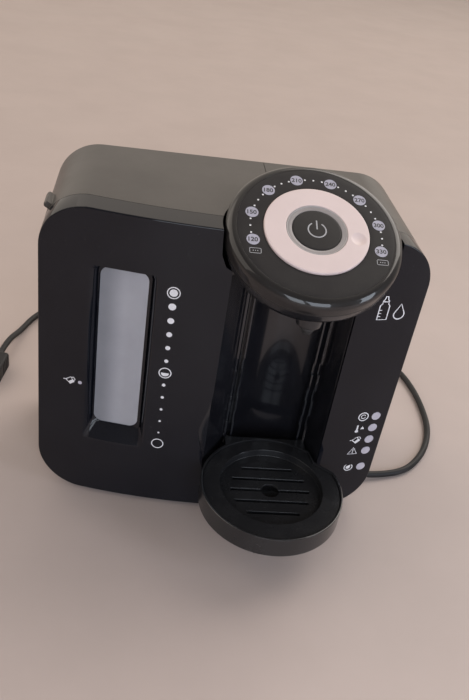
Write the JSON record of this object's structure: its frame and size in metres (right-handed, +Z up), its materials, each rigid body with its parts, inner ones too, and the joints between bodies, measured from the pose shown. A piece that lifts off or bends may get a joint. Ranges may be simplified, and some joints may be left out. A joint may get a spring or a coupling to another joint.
{
  "type": "formula dispenser",
  "caption": "Free-standing formula water dispenser with a bowed glossy front, tilted volume dial over a bottle bay, hooked drip stand, lift-out tank and supply cord.",
  "frame": {"origin": "on the table under the middle of the machine's box, without its cord", "axes": "+Z up, the front faces -Y, +X to the right seen from the front"},
  "size_m": [0.5302, 0.441, 0.3202],
  "materials": {
    "panel_gloss": "glossy dark blue-black cover",
    "casing_satin": "satin warm dark grey",
    "head_gloss": "semi-gloss dark grey",
    "fascia_matte": "matte dark grey",
    "dial_white": "satin pale pinkish white",
    "ring_grey": "satin light grey",
    "button_dark": "satin near-black",
    "stand_black": "satin black with a glossy lip",
    "bay_black": "dark glossy",
    "window_frost": "frosted translucent grey",
    "lens_pale": "pale lilac-grey",
    "clear_plastic": "clear, slightly smoked",
    "inner_black": "moulded, unpolished",
    "filter_white": "white",
    "rubber_black": "soft",
    "hose_clear": "silicone",
    "steel": "plain",
    "pin_chrome": "plated",
    "heater_aluminium": "die-cast",
    "board_green": "printed board",
    "cord_black": "smooth sheath"
  },
  "bodies": {
    "machine": {"front_panel": "panel_gloss", "rear_housing": "casing_satin", "base_plate": "inner_black", "base_screws": "steel", "rubber_feet": "rubber_black", "bay_liner": "bay_black", "head_mount_screws": "steel", "level_window": "window_frost", "indicator_lenses": "lens_pale", "low_water_lens": "lens_pale", "indicator_board": "board_green", "indicator_leds": "filter_white", "head_upper_shell": "head_gloss", "head_lower_shell": "head_gloss", "head_screws": "steel", "nozzle": "inner_black", "dial_fascia": "fascia_matte", "guide_post": "inner_black", "light_ring": "ring_grey", "button_spring": "steel", "dial_board": "board_green", "dial_electronics": "inner_black", "tank_well": "inner_black", "valve_spring": "steel", "docking_port": "inner_black", "port_seal": "rubber_black", "pump_motor": "steel", "pump_head": "inner_black", "pump_saddle": "inner_black", "heater": "heater_aluminium", "heater_bracket": "steel", "thermal_cutouts": "inner_black", "flow_valve": "filter_white", "inlet_hose": "hose_clear", "delivery_hose": "hose_clear", "outlet_hose": "hose_clear", "control_board": "board_green", "board_posts": "inner_black", "board_components": "inner_black", "terminal_block": "filter_white", "cord_gland": "cord_black", "power_cord": "cord_black", "plug": "cord_black", "plug_pins": "pin_chrome"},
    "dial": {"volume_dial": "dial_white", "encoder_ring": "inner_black"},
    "button": {"power_button": "button_dark"},
    "tank": {"water_tank": "clear_plastic", "tank_valve": "filter_white", "filter_holder": "filter_white", "filter_cartridge": "filter_white"},
    "lid": {"tank_lid": "casing_satin"},
    "cap": {"filter_cap": "filter_white"},
    "plunger": {"valve_plunger": "filter_white"},
    "stand": {"bottle_stand": "stand_black"},
    "grid": {"drip_grid": "stand_black"}
  },
  "joints": [
    {"name": "dial_turn", "type": "hinge", "parent": "machine", "child": "dial", "pos_m": [0.053, -0.02485, 0.2925], "axis": [0, -0.4242, 0.9056], "range_deg": [-6.8, 205]},
    {"name": "button_press", "type": "slide", "parent": "machine", "child": "button", "axis": [0, 0.4242, -0.9056], "range_m": [0, 0.0015], "stiffness_N_per_m": 400, "springref_m": -0.0015, "deforming": ["button_spring"]},
    {"name": "stand_height", "type": "slide", "parent": "machine", "child": "stand", "axis": [0, 0, 1], "range_m": [-0.03, 0.06]},
    {"name": "grid_lift", "type": "slide", "parent": "stand", "child": "grid", "axis": [0, 0, 1], "range_m": [0, 0.03]},
    {"name": "tank_lift", "type": "slide", "parent": "machine", "child": "tank", "axis": [0, 0, 1], "range_m": [0, 0.245]},
    {"name": "lid_lift", "type": "slide", "parent": "tank", "child": "lid", "axis": [0, 0, 1], "range_m": [0, 0.06]},
    {"name": "cap_twist", "type": "hinge", "parent": "tank", "child": "cap", "pos_m": [-0.052, 0.05465, 0.1122], "axis": [0, 0, 1], "range_deg": [0, 45]},
    {"name": "valve_open", "type": "slide", "parent": "tank", "child": "plunger", "axis": [0, 0, 1], "range_m": [0, 0.004], "stiffness_N_per_m": 100, "springref_m": -0.002, "deforming": ["valve_spring"]}
  ]
}
